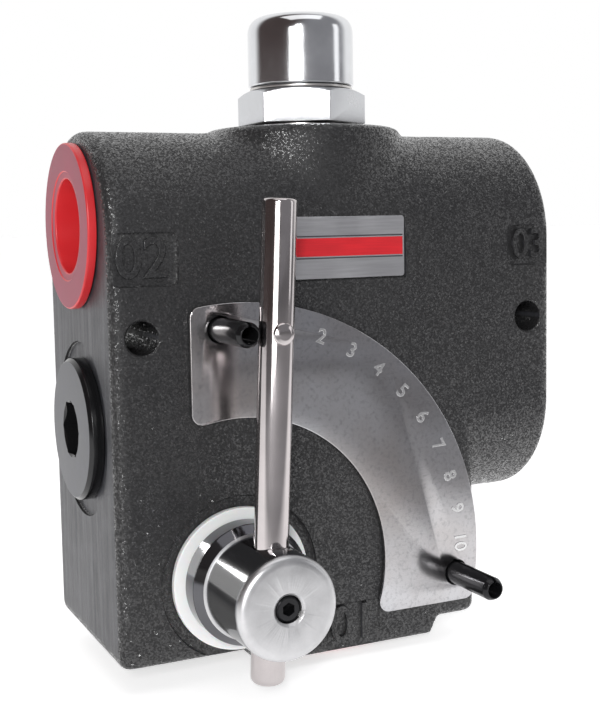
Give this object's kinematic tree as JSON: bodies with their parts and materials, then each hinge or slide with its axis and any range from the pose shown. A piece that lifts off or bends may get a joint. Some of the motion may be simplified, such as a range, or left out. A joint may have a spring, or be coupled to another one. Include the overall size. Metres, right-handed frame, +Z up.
{
  "type": "flow control valve",
  "caption": "Pressure-compensated rotary flow control valve with a lever over a numbered plate, a spring relief cartridge under a dome cap, and three plugged ports.",
  "frame": {"origin": "middle of the flat rear mounting face, midway between the two bolt holes", "axes": "+Z up towards the dome cap, +Y out of the rear mounting face, +X from the controlled-flow port to the excess-flow port; the lever is at the front, on the -Y side"},
  "size_m": [0.1386, 0.0908, 0.1778],
  "materials": {
    "cast_body": "semi-matt black paint over as-cast iron, fine sand-cast grain with small bright glints",
    "plated_plate": "bright zinc plate, satin, lightly scratched, edges bright",
    "black_oxide_pin": "black oxide, glossy with oil",
    "nameplate_foil": "brushed silver foil with a red middle band, no lettering",
    "red_plastic": "bright red moulded polyethylene, soft gloss",
    "black_plug": "black oxide, machined face, glossy chamfer",
    "seal_rubber": "black nitrile rubber",
    "ground_steel": "ground and hardened steel, oiled",
    "spring_steel": "oil-tempered spring wire",
    "copper_washer": "soft copper sealing washer",
    "plated_hex": "bright zinc plate over machined steel",
    "plated_cap": "bright zinc plate, smooth, polished shoulder",
    "turned_hub": "turned steel, satin front face, polished side",
    "dark_screw": "black oxide set screw",
    "plated_rod": "polished plated rod",
    "white_nylon": "natural white nylon"
  },
  "bodies": {
    "valve": {"valve_body": "cast_body", "dial_plate": "plated_plate", "stop_pin_closed": "black_oxide_pin", "stop_pin_open": "black_oxide_pin", "nameplate": "nameplate_foil", "compensator_plug_left": "black_plug", "compensator_plug_right": "black_plug", "compensator_seal_left": "seal_rubber", "compensator_seal_right": "seal_rubber", "compensator_spring": "spring_steel", "relief_washer": "copper_washer", "relief_cartridge": "plated_hex", "relief_seal": "seal_rubber", "relief_seat": "ground_steel", "relief_spring": "spring_steel", "lock_nut": "plated_hex", "cap_gasket": "copper_washer", "thrust_washer": "white_nylon", "spool_retaining_ring": "spring_steel"},
    "metering_lever": {"rotary_spool": "ground_steel", "spool_seal_front": "seal_rubber", "spool_seal_rear": "seal_rubber", "handle_hub": "turned_hub", "hub_set_screw": "dark_screw", "lever_rod": "plated_rod", "lever_rivet": "plated_rod"},
    "compensator": {"compensator_spool": "ground_steel"},
    "poppet": {"relief_poppet": "ground_steel"},
    "adjuster_foot": {"spring_guide": "ground_steel"},
    "adjuster": {"adjusting_screw": "ground_steel"},
    "cap": {"relief_cap": "plated_cap"},
    "plug_left": {"port_plug_left": "red_plastic"},
    "plug_right": {"port_plug_right": "red_plastic"},
    "plug_inlet": {"port_plug_inlet": "red_plastic"}
  },
  "joints": [
    {"name": "lever_turn", "type": "hinge", "parent": "valve", "child": "metering_lever", "pos_m": [-0.03321, -0.0605, -0.06434], "axis": [0, 1, 0], "range_deg": [0, 86.6]},
    {"name": "compensator_slide", "type": "slide", "parent": "valve", "child": "compensator", "axis": [1, 0, 0], "range_m": [0, 0.008], "stiffness_N_per_m": 500, "springref_m": -0.005, "deforming": ["compensator_spring"]},
    {"name": "relief_lift", "type": "slide", "parent": "valve", "child": "poppet", "axis": [0, 0, 1], "range_m": [0, 0.0025], "stiffness_N_per_m": 400, "springref_m": -0.004, "deforming": ["relief_spring"]},
    {"name": "adjust_travel", "type": "slide", "parent": "valve", "child": "adjuster_foot", "axis": [0, 0, -1], "range_m": [-0.00187, 0.00187], "deforming": ["relief_spring"]},
    {"name": "adjust_turn", "type": "hinge", "parent": "adjuster_foot", "child": "adjuster", "pos_m": [0.00105, -0.03025, 0.0652], "axis": [0, 0, -1], "range_deg": [-540.01, 540.01]},
    {"name": "cap_lift", "type": "slide", "parent": "valve", "child": "cap", "axis": [0, 0, 1], "range_m": [0, 0.022]},
    {"name": "plug_left_pull", "type": "slide", "parent": "valve", "child": "plug_left", "axis": [-1, 0, 0], "range_m": [0, 0.02]},
    {"name": "plug_right_pull", "type": "slide", "parent": "valve", "child": "plug_right", "axis": [1, 0, 0], "range_m": [0, 0.02]},
    {"name": "plug_inlet_pull", "type": "slide", "parent": "valve", "child": "plug_inlet", "axis": [0, 0, -1], "range_m": [0, 0.02]}
  ],
  "couplings": [
    {"joint": "adjust_turn", "follows": "adjust_travel", "rad_per_m": 5026.5}
  ]
}
